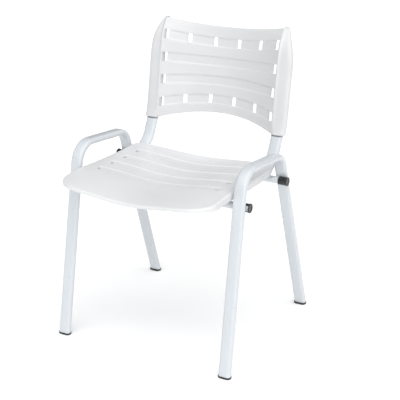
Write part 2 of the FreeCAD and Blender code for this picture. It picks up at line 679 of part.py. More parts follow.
def backrest_shell():
    x_range = (-SHEET_HALF_WIDTH - 13, SHEET_HALF_WIDTH + 13)
    z_range = (SLEEVE_BOTTOM_Z - 14, BACK_CORNER_Z + 19)
    face = smooth_face(lambda x, z: V(x, back_face_y(x, z), z), x_range, z_range, 21, 19)
    sheet = face.extrude(BACKWARD * BACK_THICKNESS).common(sheet_prism())
    one_sleeve = sleeve()
    shell = sheet.fuse([one_sleeve, mirrored(one_sleeve)]).common(whole_back_prism())
    cuts = [upright_space(0.0), back_screw(0.0)]
    for row in range(BACK_ROW_COUNT):
        outer_row = row in (0, BACK_ROW_COUNT - 1)
        for x in BACK_SLOT_X if outer_row else BACK_SLOT_X[-1:]:
            half = BACK_SLOT_WIDTH / 2
            low = row_z(row, x) - BACK_SLOT_HEIGHT / 2
            cuts.append(block(x - half, x + half, 0, BIG, low, low + BACK_SLOT_HEIGHT))
    return shell.cut(cuts + [mirrored(cutter) for cutter in cuts]).removeSplitter()


# ---- build --------------------------------------------------------------------------
def build():
    os.makedirs("parts", exist_ok=True)
    front_legs = (FRONT_FOOT_Y, FRONT_SLOPE, 1)
    rear_legs = (REAR_FOOT_Y, -REAR_SLOPE, -1)
    leg_pair = side_frame()
    sides = (("left", lambda shape: shape), ("right", mirrored))
    for side, place in sides:
        export(place(leg_pair), side + "_side_frame")
        export(place(back_upright()), side + "_back_upright")
        export(place(upright_end_plug()), side + "_upright_end_plug")
        for end, (foot_y, slope, toward) in (("front", front_legs), ("rear", rear_legs)):
            export(place(foot_cap(foot_y, slope)), "%s_%s_foot_cap" % (end, side))
            bumper = stacking_bumper(cross_tube_y(foot_y, slope, toward), -toward)
            export(place(bumper), "%s_%s_stacking_bumper" % (end, side))
    export(cross_tube(FRONT_CROSS_Y), "front_cross_tube")
    export(cross_tube(REAR_CROSS_Y), "rear_cross_tube")

    leg_beads = leg_weld(FRONT_CROSS_Y, FRONT_SLOPE, 1, leg_pair)
    leg_beads += leg_weld(REAR_CROSS_Y, -REAR_SLOPE, -1, leg_pair)
    run_beads = run_weld(FRONT_CROSS_Y) + run_weld(REAR_CROSS_Y)
    export(Part.makeCompound(leg_beads + [mirrored(bead) for bead in leg_beads]), "leg_weld_beads")
    export(Part.makeCompound(run_beads + [mirrored(bead) for bead in run_beads]), "upright_weld_beads")

    export(seat_shell(), "seat_shell")
    export(backrest_shell(), "backrest_shell")
    export(Part.makeCompound(seat_screw_list()), "seat_screws")
    export(Part.makeCompound(seat_washer_list()), "seat_screw_washers")
    back_screws = [back_screw(0.0), mirrored(back_screw(0.0))]
    export(Part.makeCompound(back_screws), "backrest_screws")


build()
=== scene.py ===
import math

import bmesh
import bpy
import numpy as np
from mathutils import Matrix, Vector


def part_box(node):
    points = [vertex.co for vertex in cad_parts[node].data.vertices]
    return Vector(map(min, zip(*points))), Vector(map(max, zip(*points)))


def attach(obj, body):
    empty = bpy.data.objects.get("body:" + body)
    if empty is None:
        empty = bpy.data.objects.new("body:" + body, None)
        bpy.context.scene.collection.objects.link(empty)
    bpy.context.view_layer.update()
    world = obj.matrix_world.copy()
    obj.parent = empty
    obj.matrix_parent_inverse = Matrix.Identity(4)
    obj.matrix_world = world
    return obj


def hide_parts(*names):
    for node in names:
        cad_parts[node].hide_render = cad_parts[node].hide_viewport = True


# Stacking chair: white powder-coated tube frame, white moulded seat and backrest, black end fittings.
# Metres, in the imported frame's own axes: the chair faces -Y, +X is the sitter's left, +Z is up.

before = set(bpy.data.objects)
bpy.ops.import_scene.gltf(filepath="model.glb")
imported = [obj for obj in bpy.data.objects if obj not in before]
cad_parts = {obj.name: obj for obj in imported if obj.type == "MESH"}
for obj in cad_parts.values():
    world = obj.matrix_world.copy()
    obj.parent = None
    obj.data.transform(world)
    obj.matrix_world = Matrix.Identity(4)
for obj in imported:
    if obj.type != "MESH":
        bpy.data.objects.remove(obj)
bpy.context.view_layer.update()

MM = 0.001
SIDE, BACKWARD, UP = np.eye(3)


# ---- sizes --------------------------------------------------------------------------
def corners_of(node):
    """Lowest and highest corner of a node of the frame."""
    low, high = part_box(node)
    return np.array(low), np.array(high)


frame_low, _ = corners_of("left_side_frame")
upright_low, upright_high = corners_of("left_back_upright")
front_tube_low, front_tube_high = corners_of("front_cross_tube")
rear_tube_low, rear_tube_high = corners_of("rear_cross_tube")
seat_low, seat_high = corners_of("seat_shell")
back_low, back_high = corners_of("backrest_shell")
cap_low, cap_high = corners_of("front_left_foot_cap")
rear_cap_low, rear_cap_high = corners_of("rear_left_foot_cap")
bumper_low, bumper_high = corners_of("front_left_stacking_bumper")
washer_low, washer_high = corners_of("seat_screw_washers")
screw_low, screw_high = corners_of("seat_screws")

TUBE_WIDTH = upright_high[0] - upright_low[0]
TUBE_DEPTH = 17 * MM
TUBE_WALL = 1.5 * MM
TUBE_FLAT = (TUBE_WIDTH - TUBE_DEPTH) / 2      # half length of the oblong's straight sides

LEG_SPACING = 250 * MM                         # side frame's middle at the floor
SIDE_LEAN = math.radians(0.57)
FRONT_SLOPE = math.tan(math.radians(10.15))
REAR_SLOPE = math.tan(math.radians(19.1))
LOOP_SLOPE = math.tan(math.radians(5.1))
TUBE_FOOT_Z = frame_low[2]
FRONT_FOOT_Y = -224.5 * MM
REAR_FOOT_Y = (rear_cap_low[1] + rear_cap_high[1]) / 2
LOOP_TOP = np.array([0, -47.5, 520]) * MM
LOOP_RADII = (58 * MM, 46 * MM)

CROSS_RADIUS = (front_tube_high[2] - front_tube_low[2]) / 2
CROSS_Z = (front_tube_high[2] + front_tube_low[2]) / 2
FRONT_CROSS_Y = (front_tube_low[1] + front_tube_high[1]) / 2
REAR_CROSS_Y = (rear_tube_low[1] + rear_tube_high[1]) / 2
CROSS_END_X = front_tube_high[0]
LEG_BEAD_X = 232.4 * MM                        # inner end of a bead on a leg
LEG_BEAD_LENGTH = 10.6 * MM
BEAD_RADIUS = 1.9 * MM
BEAD_OFFSET = 5 * MM                           # from the line of contact to a bead's middle
SCREW_HEAD_RADIUS = 4.75 * MM
BUMPER_HALF_SLOT = math.radians(51)            # the sleeve is open where the tube meets the leg

POST_X = (upright_low[0] + upright_high[0]) / 2
RUN_Z = front_tube_high[2] + TUBE_DEPTH / 2
RUN_TOP_Z = front_tube_high[2] + TUBE_DEPTH
POST_LEAN = math.radians(9.65)
POST_TURN = math.radians(63.4)
POST_BEND_Y = 94 * MM
POST_BEND_RADIUS = 75 * MM
POST_TOP_RADIUS = 200 * MM
POST_LINE = np.array([0, 194, 581]) * MM       # the upper run passes through this point
POST_TOP_Z = 742 * MM


# ---- mesh helpers -------------------------------------------------------------------
def grid_quads(rows, columns, close_rows=False, close_columns=False, first=0):
    """Corner numbers of the quads of a grid of points, optionally joined end to end each way."""
    i = np.arange(rows if close_rows else rows - 1)[:, None]
    j = np.arange(columns if close_columns else columns - 1)[None, :]
    below = (i + 1) % rows
    after = (j + 1) % columns
    quads = np.stack([i * columns + j, i * columns + after, below * columns + after, below * columns + j], -1)
    return quads.reshape(-1, 4) + first


def make_piece(name, points, faces, slot, stands_for=(), crisp=40, material=None):
    """Puts computed points and faces in a mesh, welds its seams and turns its faces outwards."""
    mesh = bpy.data.meshes.new(name)
    points = np.asarray(points, float).reshape(-1, 3)
    mesh.from_pydata(points.tolist(), [], [list(map(int, face)) for face in faces])
    build = bmesh.new()
    build.from_mesh(mesh)
    bmesh.ops.delete(build, geom=[v for v in build.verts if not v.link_faces], context="VERTS")
    bmesh.ops.remove_doubles(build, verts=build.verts, dist=2e-6)
    bmesh.ops.dissolve_degenerate(build, edges=build.edges, dist=1e-6)
    bmesh.ops.recalc_face_normals(build, faces=build.faces)
    build.to_mesh(mesh)
    build.free()
    mesh.polygons.foreach_set("use_smooth", np.ones(len(mesh.polygons), bool))
    mesh.set_sharp_from_angle(angle=math.radians(crisp))
    piece = bpy.data.objects.new(name, mesh)
    bpy.context.scene.collection.objects.link(piece)
    piece.data.materials.append(material or MATERIALS[slot])
    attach(piece, "root")
    if stands_for:
        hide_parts(*stands_for)
    return piece


def join_parts(parts):
    """Several (points, faces) as one pair."""
    points, faces, count = [], [], 0
    for part_points, part_faces in parts:
        part_points = np.asarray(part_points, float).reshape(-1, 3)
        points.append(part_points)
        faces += [[int(k) + count for k in face] for face in part_faces]
        count += len(part_points)
    return np.concatenate(points), faces


def mirrored(part):
    """A part on the other side of X = 0, its faces turned round so that they still point outwards."""
    points, faces = part
    return np.asarray(points).reshape(-1, 3) * [-1, 1, 1], [list(face)[::-1] for face in faces]


def smoothstep(t):
    """0 below 0, 1 above 1, and t * t * (3 - 2 * t) between."""
    t = np.clip(t, 0, 1)
    return t * t * (3 - 2 * t)


def unit(v):
    """Each vector divided by its own length."""
    return v / np.linalg.norm(v, axis=-1, keepdims=True)


def spaced(knots, steps):
    """Numbers that run through the knots, with an even count of steps in each interval."""
    runs = [np.linspace(a, b, n, endpoint=False) for a, b, n in zip(knots[:-1], knots[1:], steps)]
    return np.append(np.concatenate(runs), knots[-1])


# ---- materials ----------------------------------------------------------------------
def shader(name):
    """A new node material, with its nodes, its links and its main shader."""
    material = bpy.data.materials.new(name)
    material.use_nodes = True
    nodes = material.node_tree.nodes
    return material, nodes, material.node_tree.links, nodes["Principled BSDF"]


def noise(nodes, links, scale, detail=2.0, roughness=0.5, stretch=(1, 1, 1)):
    """Noise on the piece's own coordinates; scale is features per metre."""
    place = nodes.new("ShaderNodeTexCoord")
    mapping = nodes.new("ShaderNodeMapping")
    mapping.inputs["Scale"].default_value = stretch
    texture = nodes.new("ShaderNodeTexNoise")
    texture.inputs["Scale"].default_value = scale
    texture.inputs["Detail"].default_value = detail
    texture.inputs["Roughness"].default_value = roughness
    links.new(place.outputs["Object"], mapping.inputs["Vector"])
    links.new(mapping.outputs["Vector"], texture.inputs["Vector"])
    return texture.outputs["Fac"]


def spread(nodes, links, value, low, high, start=0.3, end=0.7):
    """A noise value carried to the range low to high."""
    ranged = nodes.new("ShaderNodeMapRange")
    ranged.inputs["From Min"].default_value = start
    ranged.inputs["From Max"].default_value = end
    ranged.inputs["To Min"].default_value = low
    ranged.inputs["To Max"].default_value = high
    links.new(value, ranged.inputs["Value"])
    return ranged.outputs["Result"]


def tint(nodes, links, value, dark, light, start=0.3, end=0.7):
    """Colour that goes from dark to light with a noise value."""
    ramp = nodes.new("ShaderNodeValToRGB")
    ramp.color_ramp.elements[0].position = start
    ramp.color_ramp.elements[0].color = (*dark, 1)
    ramp.color_ramp.elements[1].position = end
    ramp.color_ramp.elements[1].color = (*light, 1)
    links.new(value, ramp.inputs["Fac"])
    return ramp.outputs["Color"]


def bump(nodes, links, height, depth, strength=1.0, under=None):
    """Bump by a height value, its depth in metres, on top of an earlier bump."""
    node = nodes.new("ShaderNodeBump")
    node.inputs["Distance"].default_value = depth
    node.inputs["Strength"].default_value = strength
    links.new(height, node.inputs["Height"])
    if under is not None:
        links.new(under, node.inputs["Normal"])
    return node.outputs["Normal"]


def powder_coat(name, painted_shade_heights=None):
    """White powder coat with a cool tint: fine orange peel over a slow waviness, with an optional band of
    painted shade, nearly black, that fades in between two heights where a tube enters a sleeve. It stands in
    for the shadow under the sleeve's mouth."""
    material, nodes, links, base = shader(name)
    colour = tint(nodes, links, noise(nodes, links, 9, 3), (0.58, 0.612, 0.642), (0.592, 0.624, 0.654))
    # Painted shade: above the lower height the tube is darkened towards black, for the shadow under a
    # sleeve's mouth.
    if painted_shade_heights:
        place = nodes.new("ShaderNodeTexCoord")
        split = nodes.new("ShaderNodeSeparateXYZ")
        links.new(place.outputs["Object"], split.inputs["Vector"])
        low, high = painted_shade_heights
        line = spread(nodes, links, split.outputs["Z"], 0.0, 0.85, low, high)
        mix = nodes.new("ShaderNodeMix")
        mix.data_type = "RGBA"
        links.new(line, mix.inputs["Factor"])
        links.new(colour, mix.inputs["A"])
        mix.inputs["B"].default_value = (0.05, 0.05, 0.055, 1)
        colour = mix.outputs["Result"]
    links.new(colour, base.inputs["Base Color"])
    links.new(spread(nodes, links, noise(nodes, links, 60, 3), 0.27, 0.33), base.inputs["Roughness"])
    peel = bump(nodes, links, noise(nodes, links, 520, 2), 0.00009)
    fine = bump(nodes, links, noise(nodes, links, 2600, 1), 0.00001, under=peel)
    links.new(fine, base.inputs["Normal"])
    base.inputs["Coat Weight"].default_value = 0.35
    base.inputs["Coat Roughness"].default_value = 0.12
    return material


def moulded_white(name, dark, light, grain_depth):
    """White polypropylene: satin skin with a fine spark-eroded grain and faint flow marks."""
    material, nodes, links, base = shader(name)
    flow = noise(nodes, links, 5, 4, 0.6, stretch=(1, 2.2, 2.2))
    links.new(tint(nodes, links, flow, dark, light), base.inputs["Base Color"])
    links.new(spread(nodes, links, noise(nodes, links, 45, 4), 0.36, 0.48), base.inputs["Roughness"])
    wave = bump(nodes, links, noise(nodes, links, 38, 2), 0.00025, 0.6)
    grain = bump(nodes, links, noise(nodes, links, 1700, 2), grain_depth, under=wave)
    links.new(grain, base.inputs["Normal"])
    base.inputs["Subsurface Weight"].default_value = 0.06
    base.inputs["Subsurface Radius"].default_value = (0.004, 0.004, 0.004)
    base.inputs["Specular IOR Level"].default_value = 0.45
    return material


def moulded_black():
    """Black polyethylene with rubbed, slightly paler patches."""
    material, nodes, links, base = shader("black_plastic")
    rubbed = noise(nodes, links, 140, 4, 0.6)
    colour = tint(nodes, links, rubbed, (0.008, 0.008, 0.009), (0.022, 0.022, 0.024))
    links.new(colour, base.inputs["Base Color"])
    links.new(spread(nodes, links, rubbed, 0.26, 0.46), base.inputs["Roughness"])
    links.new(bump(nodes, links, noise(nodes, links, 1500, 2), 0.00004), base.inputs["Normal"])
    return material


def zinc_steel():
    """Zinc-plated steel with a faint yellow-blue passivation and fine scratches."""
    material, nodes, links, base = shader("zinc_steel")
    patches = noise(nodes, links, 220, 3)
    links.new(tint(nodes, links, patches, (0.58, 0.59, 0.62), (0.72, 0.70, 0.64)), base.inputs["Base Color"])
    drawn = noise(nodes, links, 900, 3, stretch=(1, 6, 1))
    scratches = noise(nodes, links, 2200, 2, stretch=(1, 8, 1))
    links.new(spread(nodes, links, drawn, 0.22, 0.42), base.inputs["Roughness"])
    links.new(bump(nodes, links, scratches, 0.00002), base.inputs["Normal"])
    base.inputs["Metallic"].default_value = 1.0
    return material


MATERIALS = {
    "white_powder_coat": powder_coat("white_powder_coat"),
    "white_seat_plastic": moulded_white(
        "white_seat_plastic", (0.67, 0.675, 0.683), (0.70, 0.702, 0.705), 0.00005),
    # The backrest's colours are painted about 8% darker than the seat's. This is painted shade, since both
    # mouldings are the same white plastic.
    "white_back_plastic": moulded_white(
        "white_back_plastic", (0.615, 0.62, 0.628), (0.645, 0.647, 0.65), 0.00004),
    "black_plastic": moulded_black(),
    "zinc_steel": zinc_steel(),
}


# ---- tubes --------------------------------------------------------------------------
def bent_path(corners, radii, steps=14):
    """Points and headings along straight runs through the corners, each inner corner on a tangent arc:
    centre - normal * radius * cos(turn) + heading * radius * sin(turn)."""
    corners = np.array(corners, float)
    points = [corners[:1]]
    headings = [unit(corners[1:2] - corners[:1])]
    for before, corner, after, radius in zip(corners[:-2], corners[1:-1], corners[2:], radii):
        into = unit(corner - before)
        out = unit(after - corner)
        turn = math.acos(float(into @ out))
        normal = unit(out - into * math.cos(turn))
        start = corner - into * radius * math.tan(turn / 2)
        angle = np.linspace(0, turn, steps)[:, None]
        points.append(start + normal * radius * (1 - np.cos(angle)) + into * radius * np.sin(angle))
        headings.append(into * np.cos(angle) + normal * np.sin(angle))
    points.append(corners[-1:])
    headings.append(unit(corners[-1:] - corners[-2:-1]))
    return np.concatenate(points), np.concatenate(headings)


def stadium(flat, radius, count=40):
    """Two half circles joined by straight sides `flat` long each way from the middle."""
    angle = np.arange(count) * 2 * math.pi / count
    across = radius * np.cos(angle) + flat * np.sign(np.round(np.cos(angle), 9))
    return np.stack([across, radius * np.sin(angle)], -1)


def carried(outline, points, headings, cut_low=None):
    """An outline carried square to a path in a plane X = constant; its ends may be cut level at a height."""
    short = np.cross(headings, SIDE)
    shape = points[:, None] + outline[None, :, :1] * SIDE + outline[None, :, 1:] * short[:, None]
    if cut_low is not None:
        for end in (0, -1):
            slide = (cut_low - shape[end, :, 2]) / headings[end, 2]
            shape[end] += slide[:, None] * headings[end]
    return shape


def hollow_tube(flat, radius, wall, points, headings, cut_low=None, count=40):
    """Outer and inner surface of a tube, joined at both ends into one closed skin."""
    outer = carried(stadium(flat, radius, count), points, headings, cut_low)
    inner = carried(stadium(flat, radius - wall, count), points, headings, cut_low)
    rings = np.concatenate([outer, inner[::-1]])
    return rings, grid_quads(len(rings), count, close_rows=True, close_columns=True)


def leaned(points):
    """The side frame's lean about the floor line, and its place at +X."""
    points = np.asarray(points, float)
    x = points[..., 0] * math.cos(SIDE_LEAN) - points[..., 2] * math.sin(SIDE_LEAN) + LEG_SPACING
    z = points[..., 0] * math.sin(SIDE_LEAN) + points[..., 2] * math.cos(SIDE_LEAN)
    return np.stack([x, points[..., 1], z], -1)


REAR_LINE_Y = REAR_FOOT_Y + REAR_SLOPE * TUBE_FOOT_Z     # rear legs' centre line at the floor


def loop_corner(foot_y, slope):
    """Where a leg's line meets the line of the loop's top run."""
    z = (LOOP_TOP[2] - LOOP_SLOPE * (foot_y - LOOP_TOP[1])) / (1 + LOOP_SLOPE * slope)
    return np.array([0, foot_y + slope * z, z])


def side_frame():
    """Front leg, loop and rear leg in one tube, cut level where the foot caps begin."""
    corners = [
        [0, FRONT_FOOT_Y, 0],
        loop_corner(FRONT_FOOT_Y, FRONT_SLOPE),
        loop_corner(REAR_LINE_Y, -REAR_SLOPE),
        [0, REAR_LINE_Y, 0],
    ]
    points, headings = bent_path(corners, LOOP_RADII, 22)
    rings, quads = hollow_tube(TUBE_FLAT, TUBE_DEPTH / 2, TUBE_WALL, points, headings, count=48)
    rings = leaned(rings)
    for row in (0, len(points) - 1, len(points), 2 * len(points) - 1):
        near = row if row < len(points) else 2 * len(points) - 1 - row
        heading = headings[near]
        rings[row] += ((TUBE_FOOT_Z - rings[row, :, 2]) / heading[2])[:, None] * heading
    return rings, quads


def post_path(front_y, top_z):
    """Centre line of a back upright: level run, bend, and the slightly straighter upper run."""
    middle_slope = 1 / math.tan(POST_TURN)
    corner_y = POST_BEND_Y + POST_BEND_RADIUS * math.tan(POST_TURN / 2)
    top_slope = math.tan(POST_LEAN)
    line_y = POST_LINE[1] - top_slope * POST_LINE[2]
    meet_z = (line_y - corner_y + middle_slope * RUN_Z) / (middle_slope - top_slope)
    corners = [
        [POST_X, front_y, RUN_Z],
        [POST_X, corner_y, RUN_Z],
        [POST_X, line_y + top_slope * meet_z, meet_z],
        [POST_X, line_y + top_slope * top_z, top_z],
    ]
    return bent_path(corners, (POST_BEND_RADIUS, POST_TOP_RADIUS), 22)


def back_upright():
    """One oblong tube along the post's path, from its front end under the seat to its top."""
    return hollow_tube(TUBE_FLAT, TUBE_DEPTH / 2, TUBE_WALL, *post_path(upright_low[1], POST_TOP_Z), count=48)


def cross_tube(y):
    """A straight round tube along X: a circle at each end, outside and then inside, joined by faces."""
    ends = np.array([[-CROSS_END_X, y, CROSS_Z], [CROSS_END_X, y, CROSS_Z]])
    angle = np.arange(40) * 2 * math.pi / 40
    rings = []
    for radius, order in ((CROSS_RADIUS, (0, 1)), (CROSS_RADIUS - TUBE_WALL, (1, 0))):
        for end in order:
            circle = np.cos(angle)[:, None] * BACKWARD + np.sin(angle)[:, None] * UP
            rings.append(ends[end] + circle * radius)
    return np.array(rings), grid_quads(4, 40, close_rows=True, close_columns=True)


def make_frame():
    """The two side frames, the two uprights and the two cross tubes."""
    # A copy of the coat with a band of painted shade on each upright, just below the backrest sleeve's mouth.
    shaded_at_sleeve = powder_coat("white_powder_coat_at_sleeve", (back_low[2] - 3.5 * MM, back_low[2] - 1.5 * MM))
    for side, turn in (("left", lambda part: part), ("right", mirrored)):
        make_piece(side + "_side_tube", *turn(side_frame()), "white_powder_coat", [side + "_side_frame"])
        make_piece(side + "_upright_tube", *turn(back_upright()), "white_powder_coat",
                   [side + "_back_upright"], material=shaded_at_sleeve)
    make_piece("front_cross_rail", *cross_tube(FRONT_CROSS_Y), "white_powder_coat", ["front_cross_tube"])
    make_piece("rear_cross_rail", *cross_tube(REAR_CROSS_Y), "white_powder_coat", ["rear_cross_tube"])


# ---- weld beads ---------------------------------------------------------------------
def bead(start, direction, length, radius):
    """A rippled bead: a rod with blunt ends, whose radius is modulated by ripples that curve round it."""
    rows, count = 44, 18
    along = np.linspace(0, 1, rows)[:, None]
    angle = (np.arange(count) * 2 * math.pi / count)[None, :]
    blunt = np.clip(1 - np.abs(2 * along - 1) ** 7, 0, 1) ** 0.5
    ripple = 1 + 0.09 * np.abs(np.sin(math.pi * (along * length / (1.7 * MM) - 0.5 * np.cos(angle))))
    sections = radius * blunt * ripple
    first = unit(np.cross(direction, UP + 0.3 * BACKWARD))
    second = np.cross(direction, first)
    points = (start + along[..., None] * length * direction
              + sections[..., None] * (np.cos(angle)[..., None] * first + np.sin(angle)[..., None] * second))
    return points, grid_quads(rows, count, close_columns=True)


def bead_pair(contact, along, away, length):
    """A bead in the groove on each side of the line where a round rail touches a flat."""
    middle = contact + away * 0.9 * MM
    return [bead(middle + along * way * BEAD_OFFSET, SIDE, length, BEAD_RADIUS) for way in (1, -1)]


def make_welds():
    """Beads where the cross tubes meet the legs, and where they meet the uprights' runs."""
    leg_beads = []
    for y, slope, toward in ((FRONT_CROSS_Y, FRONT_SLOPE, 1), (REAR_CROSS_Y, -REAR_SLOPE, -1)):
        outward = unit(np.array([0, -toward, toward * slope]))
        contact = np.array([LEG_BEAD_X, y, CROSS_Z]) + outward * CROSS_RADIUS
        leg_beads += bead_pair(contact, unit(np.array([0, slope, 1])), -outward, LEG_BEAD_LENGTH)
    run_beads = []
    for y in (FRONT_CROSS_Y, REAR_CROSS_Y):
        contact = np.array([POST_X - TUBE_FLAT, y, CROSS_Z + CROSS_RADIUS])
        run_beads += bead_pair(contact, BACKWARD, -UP, 2 * TUBE_FLAT)
    for name, beads in (("leg_weld_beads", leg_beads), ("upright_weld_beads", run_beads)):
        both = join_parts(beads + [mirrored(part) for part in beads])
        make_piece(name + "_rippled", *both, "white_powder_coat", [name], crisp=80)


# ---- turned pieces ------------------------------------------------------------------
def arc(centre_r, centre_h, radius, start, end, steps=5):
    """Profile points centre + radius * (cos, sin), with the angle going from start to end in degrees."""
    angle = np.radians(np.linspace(start, end, steps))
    return np.stack([centre_r + radius * np.cos(angle), centre_h + radius * np.sin(angle)], -1)


def turned(profile, flat=0.0, count=48):
    """A profile of (radius, height) carried round a point, or round a line `flat` long each way along X."""
    profile = np.asarray(profile, float)
    rings = [np.column_stack([stadium(flat, r, count), np.full(count, h)]) for r, h in profile]
    return np.array(rings), grid_quads(len(profile), count, close_columns=True)


def placed(part, origin, side, short, along):
    """A part moved to origin, its own x, y and z carried along the three directions given."""
    points, faces = part
    return (np.asarray(origin) + points[..., :1] * np.asarray(side) + points[..., 1:2] * np.asarray(short)
            + points[..., 2:] * np.asarray(along)), faces


def foot_cap(foot_y, slope, low, high):
    """Sole with a rounded lower edge and lip, and a hollow plug that leans with the leg inside the tube."""
    sole = TUBE_FOOT_Z
    lip = (high[0] - low[0]) / 2 - TUBE_FLAT
    plug = TUBE_DEPTH / 2 - TUBE_WALL - 0.15 * MM
    top = high[2] - 2 * MM
    profile = np.concatenate([
        [[0, 0.0], [lip * 0.5, 0.0]],
        arc(lip - 1.2 * MM, 1.2 * MM, 1.2 * MM, -90, 0),
        arc(lip - 0.8 * MM, sole - 0.8 * MM, 0.8 * MM, 0, 90),
        [[plug, sole], [plug, top - 1.5 * MM], [plug - 0.7 * MM, top]],
        [[plug - 2 * MM, top], [plug - 2 * MM, 4 * MM], [0, 4 * MM]],
    ])
    points, faces = turned(profile, TUBE_FLAT)
    x, y, z = np.moveaxis(points, -1, 0)
    above = z > sole * 1.01
    lean_z = np.where(above, z, sole)
    sole_stretch = (high[1] - foot_y - slope * sole) / lip
    y = y * np.where(above, math.hypot(1, slope), sole_stretch) + foot_y + slope * lean_z
    x = x + LEG_SPACING - math.tan(SIDE_LEAN) * lean_z
    return np.stack([x, y, z], -1), faces


def stacking_bumper(y, slot_toward):
    """A sleeve split along the side that faces the leg, and a dished flange over the rail's end."""
    body = (bumper_high[2] - bumper_low[2]) / 2 - 1.1 * MM
    angle = np.linspace(BUMPER_HALF_SLOT, 2 * math.pi - BUMPER_HALF_SLOT, 44)
    inner_x, flange_x = bumper_low[0], CROSS_END_X
    outside = np.concatenate([
        [[CROSS_RADIUS, inner_x], [body - 0.5 * MM, inner_x], [body, inner_x + 0.5 * MM]],
        [[body, flange_x + 0.4 * MM], [CROSS_RADIUS, flange_x + 0.4 * MM]],
    ])
    spoke = slot_toward * np.cos(angle)[:, None] * BACKWARD + np.sin(angle)[:, None] * UP
    sleeve = outside[None, :, 1:] * SIDE + outside[None, :, :1] * spoke[:, None] + [0, y, CROSS_Z]
    walls = grid_quads(len(angle), len(outside), close_columns=True)
    first_end = np.arange(len(outside))
    last_end = first_end[::-1] + len(outside) * (len(angle) - 1)
    rim = (bumper_high[2] - bumper_low[2]) / 2
    thick = bumper_high[0] - flange_x
    face = np.concatenate([
        [[0, 0.0], [rim - 0.5 * MM, 0.0], [rim, 0.5 * MM]],
        arc(rim - 1.1 * MM, thick - 1.1 * MM, 1.1 * MM, 0, 90),
        [[rim - 3.2 * MM, thick], [rim - 3.9 * MM, thick - 0.5 * MM]],
        [[rim * 0.4, thick - 0.6 * MM], [0, thick - 0.6 * MM]],
    ])
    flange = placed(turned(face), [flange_x, y, CROSS_Z], BACKWARD, UP, SIDE)
    return join_parts([(sleeve, list(walls) + [first_end, last_end]), flange])


def upright_plug():
    """Domed face with a rounded rim and a hollow plug, in the front end of an upright's run."""
    rim = TUBE_DEPTH / 2
    plug = rim - TUBE_WALL - 0.15 * MM
    profile = np.concatenate([
        [[0, 3.0 * MM], [rim * 0.5, 2.9 * MM]],
        arc(rim - 1.8 * MM, 1.0 * MM, 1.8 * MM, 90, 0, 6),
        [[rim, 0.0], [plug, 0.0], [plug, -15 * MM], [plug - 1 * MM, -16 * MM], [plug - 2 * MM, -16 * MM]],
        [[plug - 2 * MM, -1 * MM], [0, -1 * MM]],
    ])
    return placed(turned(profile, TUBE_FLAT), [POST_X, upright_low[1], RUN_Z], SIDE, UP, -BACKWARD)


def cross_recess(points, head_top, depth):
    """Sinks a cross into a screw head's face: deep where |x| or |y| is under the cross's half width."""
    x, y, z = np.moveaxis(points, -1, 0)
    half, reach = 0.65 * MM, 2.5 * MM
    arm_x = smoothstep((half - np.abs(y)) / (0.35 * MM) + 0.5) * smoothstep((reach - np.abs(x)) / (1.2 * MM))
    arm_y = smoothstep((half - np.abs(x)) / (0.35 * MM) + 0.5) * smoothstep((reach - np.abs(y)) / (1.2 * MM))
    sink = depth * np.maximum(arm_x, arm_y) * (z > head_top - 1.2 * MM) * (np.hypot(x, y) < 3.2 * MM)
    return np.stack([x, y, z - sink], -1)


def pan_screw(head_radius, head_height, shank_radius, shank_length):
    """Domed pan head with a cross recess, on a shank whose thread is a row of small ridges."""
    r = np.arange(0, 3.4, 0.2) * MM
    crown = np.column_stack([r, head_height * (1 - 0.10 * (r / (3.4 * MM)) ** 2)])
    turns = max(4, int((shank_length - 2 * MM) / (1.6 * MM)))
    step = np.arange(2 * turns - 1)
    ridge = np.column_stack([shank_radius - 0.45 * MM * (step % 2), -1.0 * MM - 0.8 * MM * step])
    profile = np.concatenate([
        crown,
        arc(head_radius - 1.4 * MM, head_height * 0.9 - 1.4 * MM, 1.4 * MM, 80, 0, 6),
        [[head_radius, 0.0], [shank_radius, 0.0]],
        ridge,
        [[shank_radius * 0.5, -shank_length + 0.4 * MM], [0, -shank_length]],
    ])
    points, faces = turned(profile, count=56)
    return cross_recess(points, head_height, 1.5 * MM), faces


def washer():
    """A flat ring with lightly rounded rims."""
    outer = (washer_high[0] - washer_low[0]) / 2 - POST_X
    thick = washer_high[2] - washer_low[2]
    hole = (outer * 2.4) / 7.0
    edge = 0.3 * MM
    profile = np.concatenate([
        arc(outer - edge, edge, edge, -90, 0, 3),
        arc(outer - edge, thick - edge, edge, 0, 90, 3),
        arc(hole + edge, thick - edge, edge, 90, 180, 3),
        arc(hole + edge, edge, edge, 180, 270, 3),
    ])
    points, _ = turned(profile)
    return points, grid_quads(len(profile), 48, close_rows=True, close_columns=True)


